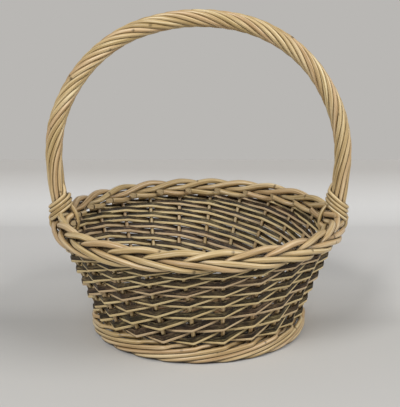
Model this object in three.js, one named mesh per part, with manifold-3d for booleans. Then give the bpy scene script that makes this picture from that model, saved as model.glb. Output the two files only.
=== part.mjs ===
// Round willow basket with a roped bow handle, in millimetres, Z up, front towards -Y.
// Each stake is one unbroken rod: its tip is in the foot border, its butt in the rim border.
// Split willow weavers climb one level per stake round the wall (a French rand).
import * as THREE from "three";
import Module from "manifold-3d";
import { mergeVertices } from "three/addons/utils/BufferGeometryUtils.js";

// Clearance left between pieces that lie against each other.
const CLEARANCE = 0.3;

// Stakes: their number, thickness and lean, and the wall that they stand in.
const STAKE_COUNT = 24;
const STAKE_TIP_DIAMETER = 4;
const STAKE_DIAMETER = 4.4;
const STAKE_SIDES = 5;
const STAKE_LEAN = THREE.MathUtils.degToRad(3.5);
const FIRST_STAKE_ANGLE = THREE.MathUtils.degToRad(-5.8);
const WALL_FOOT_RADIUS = 102.5;
const WALL_SLOPE = 0.3356;
const WALL_FLARE = 0.0008;

// Side weavers: the levels that each climbs, the height of a level and how it shrinks upwards, and
// the tail behind the first stake, in steps between stakes.
const WEAVER_LEVELS = 12.7;
const WEAVER_THICKNESS = 3.1;
const LEVEL_RISE = 7.76;
const LEVEL_SHRINK = 0.1335;
const LEVEL_GAP = 0.45;
const WEAVER_START_WIDTH = 2.8;
const WEAVER_END_WIDTH = 2.6;
const WEAVER_TAIL = 0.1;

// Handle: half an oval on two legs that rise from the rim, and the rods laid round its bow.
const HANDLE_BULGE = 8.4;
const HANDLE_LEG_INSET = 4.6;
const HANDLE_SPRING_RISE = 70;
const HANDLE_ARCH_RISE = 142.3;
const HANDLE_FULLNESS = 2.1;
const HANDLE_CURVE_STEPS = 24;
const BOW_DEPTH = 54;
const BOW_TIP_DIAMETER = 3.8;
const BOW_SIDES = 6;
const BOW_STEPS = 40;
const STRAND_COUNT = 9;
const STRAND_SIDES = 4;
const STRAND_STEPS = 36;
const STRAND_DIAMETER = 3.8;
const STRAND_TURNS = 4;
const STRAND_STRAIGHT_LENGTH = 90;
const LEFT_BINDER = 4;
const RIGHT_BINDER = 5;
const BINDING_DIAMETER = 3.2;
const BINDING_TURNS = 3;
const BINDING_LEAD = 8;
const BINDING_DROP = 2;
const BINDING_TILT = THREE.MathUtils.degToRad(35);
const BINDING_RISE_ANGLE = THREE.MathUtils.degToRad(32);
const BINDING_STEP_ANGLE = THREE.MathUtils.degToRad(36);

// Base: a cross of sticks opened out to spokes, and one weaver wound over and under them.
const BASE_STICK_DIAMETER = 4;
const BASE_STICK_SIDES = 5;
const THREADED_STICK_DIAMETER = 3.4;
const CROSS_ARM = 16;
const PAIR_RADIUS = 25;
const SPREAD_RADIUS = 44;
const BASE_WEAVER_WIDTH = 6.2;
const BASE_WEAVER_THICKNESS = 2;
const BASE_WEAVER_PITCH = 6.7;

// The plaits of the foot and the rim are laid out in rod pitches: one rod and its clearance.
const FOOT_PITCH = STAKE_TIP_DIAMETER + CLEARANCE;
const RIM_PITCH = STAKE_DIAMETER + CLEARANCE;
const FOOT_ROWS = 3;
const STANDING_CUT = 0.1;
const FOOT_BOTTOM = (STAKE_TIP_DIAMETER / 2) * Math.cos(Math.PI / STAKE_SIDES) - STANDING_CUT;
const WALL_FOOT_HEIGHT = FOOT_BOTTOM + (FOOT_ROWS + 0.24) * FOOT_PITCH;
const FIRST_LEVEL_HEIGHT = WALL_FOOT_HEIGHT + 1.5 * FOOT_PITCH;
const WALL_TOP_HEIGHT = levelHeight(WEAVER_LEVELS) + WEAVER_END_WIDTH;
const WALL_TOP_RADIUS = wallRadius(WALL_TOP_HEIGHT);
const FULL_TURN = 2 * Math.PI;
const STEP = FULL_TURN / STAKE_COUNT;

const PEELED = new THREE.MeshStandardMaterial({ color: 0xc4a673, roughness: 0.62, metalness: 0 });
const BARK = new THREE.MeshStandardMaterial({ color: 0x4d4234, roughness: 0.78, metalness: 0 });

// The foot border, from the bottom of a stake to its butt: stakes along to the left, then how far
// out from the wall and how far up, in foot pitches. The stake turns under its neighbour, comes out
// between the next two and runs down across the front.
const FOOT_TURN = [
  [0.06, -0.07, -0.64],
  [0.25, -0.22, -0.93],
  [0.5, -0.64, -1],
  [0.75, -0.98, -0.82],
  [1, -1.11, -0.53],
  [1.25, -0.84, -0.06],
  [1.5, -0.18, 0.01],
  [1.75, 0.49, 0.01],
];
const FOOT_FRONT_OUT = 1.5;
const FOOT_FRONT_START = 2;
const FOOT_STEPS_PER_STAKE = 2;

// The rim border, from the top of the wall to a stake's tip: stakes along to the right, then out
// and up in rim pitches. The stake folds over to the right, runs along the top, drops inside the
// second stake, comes out over the next and works down the front. Its end goes in and rises under
// the top rods.
const RIM = [
  [0, 0.36, 1.02],
  [0.04, 0.6, 1.85],
  [0.15, 0.76, 2.42],
  [0.35, 0.83, 2.87],
  [0.65, 0.72, 3.43],
  [1, 0.38, 3.72],
  [1.35, -0.09, 3.38],
  [1.7, -0.47, 2.7],
  [2, -0.55, 2.19],
  [2.35, 0.17, 1.94],
  [2.7, 1.02, 1.98],
  [3, 1.66, 1.98],
  [3.35, 1.96, 1.72],
  [3.7, 2, 1.24],
  [4, 1.85, 0.82],
  [4.35, 1.45, 0.55],
  [4.6, 0.75, 0.59],
  [4.8, -0.3, 0.79],
  [5.15, -1.75, 1.15],
  [5.7, -2, 1.85],
];
const UPPER_RIM_END = 2.9;
const INNER_END_START = 4.9;
const RIM_TOP = WALL_TOP_HEIGHT + columnMax(RIM, 2) * RIM_PITCH + STAKE_DIAMETER / 2;
const RIM_OUTSIDE = WALL_TOP_RADIUS + columnMax(RIM, 1) * RIM_PITCH + STAKE_DIAMETER / 2;

// The rim's upper rods and inner ends give way inwards where a handle leg comes up through them.
const HANDLE_GAP_DEPTH = 9;
const HANDLE_GAP_WIDTH = 8;

const STRAND_RING = (STRAND_DIAMETER + 2 * CLEARANCE) / 2 / Math.sin(Math.PI / STRAND_COUNT);
const BOW_DIAMETER = 2 * (STRAND_RING - 3 * CLEARANCE) - STRAND_DIAMETER;
const STRAND_FOOT_HEIGHT = RIM_TOP + 3 * CLEARANCE;
const BINDING_RING = STRAND_RING + (STRAND_DIAMETER + BINDING_DIAMETER) / 2 + 2 * CLEARANCE;
const BINDING_HEIGHT = RIM_TOP - BINDING_DROP;
const HANDLE_HALF_SPAN = WALL_TOP_RADIUS + HANDLE_BULGE;
const HANDLE_SPRING_HEIGHT = WALL_TOP_HEIGHT + HANDLE_SPRING_RISE;
const BOW_END_HEIGHT = WALL_TOP_HEIGHT - BOW_DEPTH;

// The base lies on the foot's inner rods, just inside the ring of stakes.
const BASE_RADIUS = WALL_FOOT_RADIUS - 1.11 * FOOT_PITCH - 5 * CLEARANCE;
const BASE_HEIGHT =
  WALL_FOOT_HEIGHT - 0.53 * FOOT_PITCH + (STAKE_TIP_DIAMETER + BASE_STICK_DIAMETER) / 2;

function columnMax(rows, column) {
  return Math.max(...rows.map((row) => row[column]));
}

// A point at an angle round the basket, counted from the front towards +X.
function around(angle, radius, height) {
  return new THREE.Vector3(radius * Math.sin(angle), -radius * Math.cos(angle), height);
}

// Smooth value at t through rows of [t, value], with slopes taken from the neighbours.
function through(rows, t) {
  let i = 0;
  while (i < rows.length - 2 && t > rows[i + 1][0]) {
    i += 1;
  }
  const before = rows[Math.max(i - 1, 0)];
  const from = rows[i];
  const to = rows[i + 1];
  const after = rows[Math.min(i + 2, rows.length - 1)];
  const span = to[0] - from[0];
  const u = THREE.MathUtils.clamp((t - from[0]) / span, 0, 1);
  const slopeIn = (span * (to[1] - before[1])) / (to[0] - before[0]);
  const slopeOut = (span * (after[1] - from[1])) / (after[0] - from[0]);
  return (
    from[1] * (1 + u * u * (2 * u - 3)) +
    to[1] * u * u * (3 - 2 * u) +
    slopeIn * u * (1 - u) * (1 - u) +
    slopeOut * u * u * (u - 1)
  );
}

// The wall: its radius at the middle of the stakes, its slope, and the stakes' sideways lean.
function wallRadius(height) {
  const up = height - WALL_FOOT_HEIGHT;
  return WALL_FOOT_RADIUS + WALL_SLOPE * up + WALL_FLARE * up * up;
}

function wallTilt(height) {
  return Math.atan(WALL_SLOPE + 2 * WALL_FLARE * (height - WALL_FOOT_HEIGHT));
}

function lean(height) {
  const share = (WALL_TOP_HEIGHT - height) / (WALL_TOP_HEIGHT - WALL_FOOT_HEIGHT);
  return STAKE_LEAN * THREE.MathUtils.clamp(share, 0, 1);
}

// A point on the wall, moved outwards by offset square to the wall's slope.
function onWall(angle, height, offset) {
  const tilt = wallTilt(height);
  const radius = wallRadius(height) + offset * Math.cos(tilt);
  return around(angle, radius, height - offset * Math.sin(tilt));
}

// A closed solid through a row of sections, each a ring of the same number of points.
function skin(sections) {
  const sides = sections[0].length;
  const first = new THREE.Vector3();
  const last = new THREE.Vector3();
  sections[0].forEach((p) => first.addScaledVector(p, 1 / sides));
  sections.at(-1).forEach((p) => last.addScaledVector(p, 1 / sides));
  const points = [...sections.flat(), first, last];
  const faces = [];
  for (let row = 0; row < sections.length - 1; row += 1) {
    for (let side = 0; side < sides; side += 1) {
      const a = row * sides + side;
      const b = row * sides + ((side + 1) % sides);
      faces.push(a, b, b + sides, a, b + sides, a + sides);
    }
  }
  const end = (sections.length - 1) * sides;
  for (let side = 0; side < sides; side += 1) {
    const next = (side + 1) % sides;
    faces.push(points.length - 2, next, side);
    faces.push(points.length - 1, end + side, end + next);
  }
  const geometry = new THREE.BufferGeometry();
  const numbers = points.flatMap((p) => p.toArray());
  geometry.setAttribute("position", new THREE.Float32BufferAttribute(numbers, 3));
  geometry.setIndex(faces);
  return geometry;
}

// Sections of a round rod along centres. across gives the direction that a section is set by.
function roundSections(centres, radii, sides, across) {
  return centres.map((centre, i) => {
    const ahead = centres[Math.min(i + 1, centres.length - 1)];
    const behind = centres[Math.max(i - 1, 0)];
    const along = ahead.clone().sub(behind).normalize();
    const u = across(i, along).clone();
    u.addScaledVector(along, -u.dot(along)).normalize();
    const v = along.clone().cross(u);
    const ring = [];
    for (let side = 0; side < sides; side += 1) {
      const turn = (side / sides - 0.25) * FULL_TURN;
      const point = centre.clone();
      point.addScaledVector(u, radii[i] * Math.cos(turn));
      point.addScaledVector(v, radii[i] * Math.sin(turn));
      ring.push(point);
    }
    return ring;
  });
}

// A direction carried along a rod without twisting, for a rod that turns every way.
function carried(start) {
  const direction = start.clone();
  return (i, along) => direction.addScaledVector(along, -direction.dot(along)).normalize();
}

// Points of the foot border from the butt up to the stake's bottom: [stakes along, radius, height].
function footPath() {
  const front = FOOT_FRONT_START + FOOT_ROWS;
  const rows = FOOT_TURN.map(([along, out, up]) => [
    along,
    WALL_FOOT_RADIUS + out * FOOT_PITCH,
    WALL_FOOT_HEIGHT + up * FOOT_PITCH,
  ]);
  const outside = WALL_FOOT_RADIUS + FOOT_FRONT_OUT * FOOT_PITCH;
  for (let step = 0; step <= (FOOT_ROWS - 0.4) * FOOT_STEPS_PER_STAKE; step += 1) {
    const down = step / FOOT_STEPS_PER_STAKE;
    rows.push([FOOT_FRONT_START + down, outside, WALL_FOOT_HEIGHT - (0.07 + down) * FOOT_PITCH]);
  }
  rows.push([front, outside - 0.36 * FOOT_PITCH, FOOT_BOTTOM + 0.18 * FOOT_PITCH]);
  rows.push([front + 0.3, outside - 0.95 * FOOT_PITCH, FOOT_BOTTOM]);
  rows.push([front + 0.6, outside - 1.6 * FOOT_PITCH, FOOT_BOTTOM]);
  return rows.reverse();
}

function inwardsForHandle(angle, radius) {
  const besideLeg = radius * Math.asin(Math.cos(angle));
  return HANDLE_GAP_DEPTH * Math.exp(-((besideLeg / HANDLE_GAP_WIDTH) ** 2));
}

function stake(number) {
  const angle = FIRST_STAKE_ANGLE + number * STEP;
  const centres = [];
  const radii = [];
  for (const [along, radius, height] of footPath()) {
    centres.push(around(angle + lean(height) - along * STEP, radius, height));
    radii.push(STAKE_TIP_DIAMETER / 2);
  }
  const wallSteps = 3;
  for (let i = 0; i <= wallSteps; i += 1) {
    const height = THREE.MathUtils.lerp(WALL_FOOT_HEIGHT, WALL_TOP_HEIGHT, i / wallSteps);
    centres.push(onWall(angle + lean(height), height, 0));
    radii.push(STAKE_DIAMETER / 2);
  }
  for (const [along, out, up] of RIM) {
    const at = angle + along * STEP;
    const radius = WALL_TOP_RADIUS + out * RIM_PITCH;
    const isInside = along < UPPER_RIM_END || along > INNER_END_START;
    const inwards = isInside ? inwardsForHandle(at, radius) : 0;
    centres.push(around(at, radius - inwards, WALL_TOP_HEIGHT + up * RIM_PITCH));
    radii.push(STAKE_DIAMETER / 2);
  }
  const outwards = (i) => new THREE.Vector3(centres[i].x, centres[i].y, 0);
  const sections = roundSections(centres, radii, STAKE_SIDES, outwards);
  // The lowest rods of the foot are cut flat where the basket stands.
  for (const point of sections.flat()) {
    point.z = Math.max(point.z, 0);
  }
  return skin(sections);
}

// Height of a weaver's lower edge at a level, and of its upper edge, just under the next level.
function levelHeight(level) {
  return FIRST_LEVEL_HEIGHT + LEVEL_RISE * level - LEVEL_SHRINK * level * level;
}

function upperEdge(level) {
  const last = Math.floor(WEAVER_LEVELS);
  if (level <= last) {
    return levelHeight(level + 1) - LEVEL_GAP;
  }
  const share = (level - last) / (WEAVER_LEVELS - last);
  return THREE.MathUtils.lerp(upperEdge(last), WALL_TOP_HEIGHT, share);
}

// A split rod's section: a pale cut edge faces out below, the bark leans in above it.
function splitSection(angle, offset, low, high) {
  const half = WEAVER_THICKNESS / 2;
  const width = high - low;
  return [
    onWall(angle, low + 0.33 * width, offset + 0.75 * half),
    onWall(angle, low, offset + half),
    onWall(angle, low + 0.1 * width, offset - half),
    onWall(angle, high, offset - 0.5 * half),
  ];
}

// A side weaver: in front of one stake, behind the next, one level higher at each.
function sideWeaver(number) {
  const first = FIRST_STAKE_ANGLE + number * STEP;
  const beside = (radius) => radius + 1.5 * CLEARANCE + WEAVER_THICKNESS / 2;
  const atStake = beside(STAKE_DIAMETER / 2);
  const startHigh = upperEdge(-1);
  const startLow = startHigh - WEAVER_START_WIDTH;
  const startAngle = first - STEP + lean(startHigh);
  const sections = [
    splitSection(startAngle - WEAVER_TAIL * STEP, -atStake, startLow, startHigh),
    splitSection(startAngle, -atStake, startLow, startHigh),
  ];
  for (let level = 0; level < WEAVER_LEVELS; level += 1) {
    const low = levelHeight(level);
    const high = upperEdge(level);
    const angle = first + level * STEP + lean((low + high) / 2);
    const hand = level % 2 === 0 ? 1 : -1;
    sections.push(splitSection(angle, hand * atStake, low, high));
    for (const leg of [Math.PI / 2, -Math.PI / 2]) {
      // Beside a handle leg the weaver keeps to its side until it has passed the bow's end too.
      const share = Math.atan2(Math.sin(leg - angle), Math.cos(leg - angle)) / STEP;
      const lowHere = levelHeight(level + share);
      const highHere = upperEdge(level + share);
      if (share > 0 && share < 1 && highHere > BOW_END_HEIGHT - LEVEL_RISE) {
        const atBow = beside(bowRadius((lowHere + highHere) / 2));
        sections.push(splitSection(leg, hand * atBow, lowHere, highHere));
      }
    }
  }
  const end = first + WEAVER_LEVELS * STEP;
  const crossed = WEAVER_LEVELS % 1;
  const lastHand = Math.floor(WEAVER_LEVELS) % 2 === 0 ? 1 : -1;
  const endOffset = lastHand * atStake * (1 - 2 * crossed);
  sections.push(splitSection(end, endOffset, levelHeight(WEAVER_LEVELS), WALL_TOP_HEIGHT));
  return skin(sections);
}

// How far out a handle leg is at a height: down in the wall, up through the rim, to the arch.
function legOut(height) {
  const inWall = WALL_TOP_HEIGHT - 2 * RIM_PITCH;
  const aboveRim = HANDLE_HALF_SPAN - HANDLE_LEG_INSET;
  const rows = [
    [inWall, wallRadius(inWall)],
    [WALL_TOP_HEIGHT, WALL_TOP_RADIUS],
    [WALL_TOP_HEIGHT + 2 * RIM_PITCH, aboveRim - 0.45 * RIM_PITCH],
    [RIM_TOP, aboveRim - 0.15 * RIM_PITCH],
    [RIM_TOP + 2 * RIM_PITCH, aboveRim],
    [RIM_TOP + 5 * RIM_PITCH, HANDLE_HALF_SPAN - HANDLE_LEG_INSET / 2],
    [HANDLE_SPRING_HEIGHT, HANDLE_HALF_SPAN],
  ];
  return height < inWall ? wallRadius(height) : through(rows, height);
}

// The bow is shaved thinner towards its ends, where it goes down beside a stake.
function bowRadius(height) {
  const rows = [
    [BOW_END_HEIGHT, BOW_TIP_DIAMETER / 2],
    [WALL_TOP_HEIGHT, BOW_TIP_DIAMETER / 2 + 0.4],
    [RIM_TOP - RIM_PITCH, BOW_DIAMETER / 2 - 2 * CLEARANCE],
    [STRAND_FOOT_HEIGHT, BOW_DIAMETER / 2],
  ];
  return through(rows, Math.max(height, BOW_END_HEIGHT));
}

// The handle's middle line from the left foot over the top to the right foot, evenly spaced.
function handleLine(lowest, count) {
  const side = [];
  const steps = HANDLE_CURVE_STEPS;
  for (let i = 0; i < steps; i += 1) {
    const height = THREE.MathUtils.lerp(lowest, HANDLE_SPRING_HEIGHT, i / steps);
    side.push(new THREE.Vector3(-legOut(height), 0, height));
  }
  for (let i = 0; i < steps; i += 1) {
    const turn = ((i / steps) * Math.PI) / 2;
    const out = HANDLE_HALF_SPAN * Math.cos(turn) ** (2 / HANDLE_FULLNESS);
    const up = HANDLE_ARCH_RISE * Math.sin(turn) ** (2 / HANDLE_FULLNESS);
    side.push(new THREE.Vector3(-out, 0, HANDLE_SPRING_HEIGHT + up));
  }
  const top = new THREE.Vector3(0, 0, HANDLE_SPRING_HEIGHT + HANDLE_ARCH_RISE);
  const mirrored = side.map((p) => new THREE.Vector3(-p.x, 0, p.z)).reverse();
  const curve = new THREE.CatmullRomCurve3([...side, top, ...mirrored]);
  curve.arcLengthDivisions = 800;
  return { points: curve.getSpacedPoints(count), length: curve.getLength() };
}

function handleBow() {
  const { points } = handleLine(BOW_END_HEIGHT, BOW_STEPS);
  const radii = points.map((p) => bowRadius(p.z));
  const front = () => new THREE.Vector3(0, -1, 0);
  return skin(roundSections(points, radii, BOW_SIDES, front));
}

// Angle of a strand round the bow, 0 on the outside, after a distance from the left foot. The
// strands lie straight at both feet and take up their full twist within the straight length.
function strandAngle(number, distance, length) {
  const eased = (d) => {
    const t = THREE.MathUtils.clamp(d / STRAND_STRAIGHT_LENGTH, 0, 1);
    const beyond = Math.max(d - STRAND_STRAIGHT_LENGTH, 0);
    return STRAND_STRAIGHT_LENGTH * (t ** 3 - t ** 4 / 2) + beyond;
  };
  const halfway = eased(length / 2);
  const nearer = eased(Math.min(distance, length - distance)) / halfway / 2;
  const share = distance < length / 2 ? nearer : 1 - nearer;
  return FULL_TURN * (number / STRAND_COUNT + STRAND_TURNS * share);
}

// A strand's end wound round a handle leg: it leaves the inner side of the leg, winds down in
// slanting turns and is strapped down over the outside of the rim. Angles run from the outside
// over the front.
function bindingLine(side, startAngle) {
  const pitch = (BINDING_DIAMETER + CLEARANCE) / Math.cos(BINDING_TILT);
  const endAngle = -BINDING_TURNS * FULL_TURN;
  const points = [];
  const place = (angle, reach, lift) => {
    const left = (angle - endAngle) / FULL_TURN;
    const drop = Math.tan(BINDING_TILT) * BINDING_RING * Math.cos(angle);
    const height = BINDING_HEIGHT + pitch * left - drop + lift;
    const out = legOut(height) + reach * Math.cos(angle);
    points.push(new THREE.Vector3(side * out, -reach * Math.sin(angle), height));
  };
  const risingShare = [0, 0.12, 0.4, 0.85];
  for (const share of risingShare) {
    const reach = THREE.MathUtils.lerp(STRAND_RING, BINDING_RING, Math.sqrt(share));
    const lift = BINDING_LEAD * (1 - share) ** 2;
    place(startAngle - share * BINDING_RISE_ANGLE, reach, lift);
  }
  const firstAngle = startAngle - BINDING_RISE_ANGLE * 1.4;
  const steps = Math.round((firstAngle - endAngle) / BINDING_STEP_ANGLE);
  for (let i = 0; i <= steps; i += 1) {
    place(THREE.MathUtils.lerp(firstAngle, endAngle, i / steps), BINDING_RING, 0);
  }
  const strapOut = RIM_OUTSIDE + CLEARANCE + BINDING_DIAMETER / 2;
  const strap = [
    [0.2, 2.9],
    [0, 1.9],
    [0, 0.9],
    [-0.5, 0],
    [-1.3, -1.1],
    [-2.2, -2.8],
  ];
  for (const [out, up] of strap) {
    const height = WALL_TOP_HEIGHT + up * RIM_PITCH;
    points.push(new THREE.Vector3(side * (strapOut + out * RIM_PITCH), 0, height));
  }
  return points;
}

function strand(number) {
  const { points, length } = handleLine(STRAND_FOOT_HEIGHT, STRAND_STEPS);
  const centres = points.map((p, i) => {
    const ahead = points[Math.min(i + 1, STRAND_STEPS)];
    const behind = points[Math.max(i - 1, 0)];
    const along = ahead.clone().sub(behind).normalize();
    const angle = strandAngle(number, (length * i) / STRAND_STEPS, length);
    const outwards = STRAND_RING * Math.cos(angle);
    const towardsFront = STRAND_RING * Math.sin(angle);
    return new THREE.Vector3(p.x - outwards * along.z, -towardsFront, p.z + outwards * along.x);
  });
  const radii = centres.map(() => STRAND_DIAMETER / 2);
  // At each foot an inner strand goes on as the binding.
  const bind = (side, endAngle) => {
    const fromInside = Math.atan2(-Math.sin(endAngle), -Math.cos(endAngle));
    const binding = bindingLine(side, Math.PI + fromInside);
    while (centres.at(-1).z < binding[0].z + BINDING_DIAMETER) {
      centres.pop();
      radii.pop();
    }
    centres.push(...binding);
    radii.push(...binding.map(() => BINDING_DIAMETER / 2));
  };
  if (number === LEFT_BINDER) {
    centres.reverse();
    bind(-1, strandAngle(number, 0, length));
    centres.reverse();
    radii.reverse();
  }
  if (number === RIGHT_BINDER) {
    bind(1, strandAngle(number, length, length));
  }
  return skin(roundSections(centres, radii, STRAND_SIDES, carried(new THREE.Vector3(0, -1, 0))));
}

// The base's spokes: a single stick let in beside the cross, so that the weaver changes sides from
// round to round, and sixteen ends of cross sticks. Four ends leave the cross side by side in each
// arm, then open into pairs and then into single spokes.
function spokes() {
  const list = [{ spread: 0 }];
  const pairs = 8;
  const group = FULL_TURN / (pairs + 1);
  for (let n = 0; n < pairs; n += 1) {
    for (const hand of [-1, 1]) {
      list.push({
        hand,
        arm: Math.floor(n / 2),
        place: (n % 2) * 2 - 1 + hand / 2,
        pair: (n + 1) * group,
        spread: (n + 1) * group + (hand * group) / 4,
      });
    }
  }
  return list;
}

function onBase(angle, along, beside = 0) {
  const x = along * Math.cos(angle) - beside * Math.sin(angle);
  const y = along * Math.sin(angle) + beside * Math.cos(angle);
  return new THREE.Vector3(x, y, BASE_HEIGHT);
}

// Half of a cross stick, from the middle of the base outwards.
function spokeLine(spoke) {
  const pitch = BASE_STICK_DIAMETER + CLEARANCE;
  const armAngle = ((spoke.arm + 0.5) * Math.PI) / 2;
  return [
    onBase(armAngle, CROSS_ARM, spoke.place * pitch),
    onBase(spoke.pair, PAIR_RADIUS, (spoke.hand * pitch) / 2),
    onBase(spoke.spread, SPREAD_RADIUS),
    onBase(spoke.spread, BASE_RADIUS),
  ];
}

// The cross: the sticks of one direction are thinner, threaded through slits in the others.
async function baseCross() {
  const wasm = await Module();
  wasm.setup();
  const stick = (centres, diameter) => {
    const radii = centres.map(() => diameter / 2);
    const across = (i, along) => new THREE.Vector3(-along.y, along.x, 0);
    const shape = mergeVertices(skin(roundSections(centres, radii, BASE_STICK_SIDES, across)));
    const mesh = new wasm.Mesh({
      numProp: 3,
      vertProperties: new Float32Array(shape.attributes.position.array),
      triVerts: new Uint32Array(shape.index.array),
    });
    return new wasm.Manifold(mesh);
  };
  const list = spokes().slice(1);
  let cross = stick([onBase(0, 0), onBase(0, BASE_RADIUS)], BASE_STICK_DIAMETER);
  for (const spoke of list.filter((end) => end.arm < 2)) {
    const other = list.find((end) => end.arm === spoke.arm + 2 && end.place === -spoke.place);
    const line = [...spokeLine(spoke).reverse(), ...spokeLine(other)];
    cross = cross.add(stick(line, spoke.arm === 0 ? BASE_STICK_DIAMETER : THREADED_STICK_DIAMETER));
  }
  const mesh = cross.getMesh();
  const geometry = new THREE.BufferGeometry();
  geometry.setAttribute("position", new THREE.Float32BufferAttribute(mesh.vertProperties, 3));
  geometry.setIndex(Array.from(mesh.triVerts));
  return geometry;
}

// Angle of a spoke at a radius: straight from its place in the pair to its place on its own.
function spokeAngle(spoke, radius) {
  if (!spoke.hand) {
    return spoke.spread;
  }
  const beside = (spoke.hand * (BASE_STICK_DIAMETER + CLEARANCE)) / 2;
  const opened = THREE.MathUtils.clamp(
    (radius - PAIR_RADIUS) / (SPREAD_RADIUS - PAIR_RADIUS),
    0,
    1,
  );
  const at = onBase(spoke.pair, PAIR_RADIUS, beside).lerp(onBase(spoke.spread, SPREAD_RADIUS), opened);
  return (Math.atan2(at.y, at.x) + FULL_TURN) % FULL_TURN;
}

// The base's weaver: a flat split rod wound outwards, over one group of spokes and under the next.
function baseWeaver() {
  const list = spokes();
  const sections = [];
  const beside = (BASE_STICK_DIAMETER + BASE_WEAVER_THICKNESS) / 2 + 2 * CLEARANCE;
  const firstRadius = PAIR_RADIUS + BASE_WEAVER_WIDTH / 2;
  const lastRadius = BASE_RADIUS - 6 * CLEARANCE - BASE_WEAVER_WIDTH / 2;
  let over = 1;
  let radius = firstRadius;
  for (let n = 0; radius < lastRadius; n += 1) {
    const spoke = list[n % list.length];
    const angle = spokeAngle(spoke, radius);
    radius = firstRadius + BASE_WEAVER_PITCH * (Math.floor(n / list.length) + angle / FULL_TURN);
    const samePair = radius < SPREAD_RADIUS && spoke.hand === 1;
    over = samePair ? over : -over;
    const middle = BASE_HEIGHT + over * beside;
    const corner = (across, up) => {
      const r = radius + (across * BASE_WEAVER_WIDTH) / 2;
      return new THREE.Vector3(
        r * Math.cos(angle),
        r * Math.sin(angle),
        middle + (up * BASE_WEAVER_THICKNESS) / 2,
      );
    };
    sections.push([corner(-1, 1), corner(1, 1), corner(1, -1), corner(-1, -1)]);
  }
  return skin(sections);
}

const basket = new THREE.Group();
basket.name = "flower_basket";

function addPiece(name, geometry, material) {
  const mesh = new THREE.Mesh(geometry, material);
  mesh.name = name;
  basket.add(mesh);
}

const numbered = (name, n) => `${name}_${String(n + 1).padStart(2, "0")}`;
for (let n = 0; n < STAKE_COUNT; n += 1) {
  addPiece(numbered("stake", n), stake(n), PEELED);
  addPiece(numbered("side_weaver", n), sideWeaver(n), BARK);
}
addPiece("base_cross", await baseCross(), PEELED);
addPiece("base_weaver", baseWeaver(), BARK);
addPiece("handle_bow", handleBow(), PEELED);
for (let n = 0; n < STRAND_COUNT; n += 1) {
  addPiece(numbered("handle_strand", n), strand(n), PEELED);
}

export default basket;
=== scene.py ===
"""Round willow basket with a roped bow handle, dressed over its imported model.

Every rod of the basket is a curve with a bevel, turned into a mesh and then given what real willow
has: bud scars, a slight waver, slanting cut ends and its own tone.
"""
import math
import random

import bpy
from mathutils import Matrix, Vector, noise


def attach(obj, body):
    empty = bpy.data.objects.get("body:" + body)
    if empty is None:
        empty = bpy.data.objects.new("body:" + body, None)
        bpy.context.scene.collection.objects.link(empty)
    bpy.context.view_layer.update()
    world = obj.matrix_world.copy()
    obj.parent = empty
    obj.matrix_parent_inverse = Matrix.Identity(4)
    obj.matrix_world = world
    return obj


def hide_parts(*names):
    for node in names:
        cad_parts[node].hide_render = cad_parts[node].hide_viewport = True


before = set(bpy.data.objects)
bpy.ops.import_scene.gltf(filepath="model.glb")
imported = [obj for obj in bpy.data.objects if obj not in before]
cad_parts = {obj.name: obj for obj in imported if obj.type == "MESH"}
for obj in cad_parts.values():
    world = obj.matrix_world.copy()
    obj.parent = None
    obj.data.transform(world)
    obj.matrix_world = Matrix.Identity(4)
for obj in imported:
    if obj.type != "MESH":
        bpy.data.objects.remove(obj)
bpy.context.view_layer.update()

MM = 0.001
FULL_TURN = 2 * math.pi
QUARTER_TURN = math.pi / 2
UP = Vector((0, 0, 1))

# The basket's driving sizes in millimetres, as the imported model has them: stakes, wall and foot.
# The foot's overhang and both lifts are in foot pitches.
CLEARANCE = 0.3
STAKE_COUNT = 24
STAKE_TIP = 4.0
STAKE_THICKNESS = 4.4
STAKE_FACETS = 5
STAKE_LEAN = math.radians(3.5)
FIRST_STAKE = math.radians(-5.8)
STANDING_CUT = 0.1
FOOT_RADIUS = 102.5
FOOT_ROWS = 3
FOOT_OVERHANG = 1.5
WALL_LIFT = 0.24
FIRST_LEVEL_LIFT = 1.5
WALL_SLOPE = 0.3356
WALL_FLARE = 0.0008

# Side weavers.
WEAVER_LEVELS = 12.7
LEVEL_RISE = 7.76
LEVEL_SHRINK = 0.1335
LEVEL_GAP = 0.45
WEAVER_START_WIDTH = 2.8
WEAVER_END_WIDTH = 2.6

# Handle.
HANDLE_BULGE = 8.4
HANDLE_LEG_INSET = 4.6
HANDLE_SPRING_RISE = 70
HANDLE_ARCH_RISE = 142.3
HANDLE_FULLNESS = 2.1
HANDLE_GAP_DEPTH = 9
HANDLE_GAP_WIDTH = 8
BOW_DEPTH = 54
BOW_TIP = 3.8
BOW_AT_WALL_TOP = 4.6
STRAND_COUNT = 9
STRAND_THICKNESS = 3.8
STRAND_TURNS = 4
STRAND_STRAIGHT = 90
LEFT_BINDER = 4
RIGHT_BINDER = 5
BINDING_THICKNESS = 3.2
BINDING_TURNS = 3
BINDING_TILT = math.radians(35)
BINDING_RISE_ANGLE = math.radians(32)
BINDING_LEAD = 8
BINDING_DROP = 2

# Base.
BASE_STICK = 4
THREADED_STICK = 3.4
HALF_STICK_START = 8
CROSS_ARM = 16
SPOKE_PAIRS = 8
PAIR_RADIUS = 25
SPREAD_RADIUS = 44
BASE_WEAVER_WIDTH = 6.2
BASE_WEAVER_THICKNESS = 2
BASE_WEAVER_PITCH = 6.7

# Rods as they are drawn here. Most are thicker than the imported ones, because real rods press
# together, and the uprights are a little thinner, as in the photograph.
FOOT_ROD = STAKE_TIP + 0.2
WALL_ROD = 4.0
STRAND_ROD = 4.5
BINDING_ROD = 3.9
UNEVEN = 0.15

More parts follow.
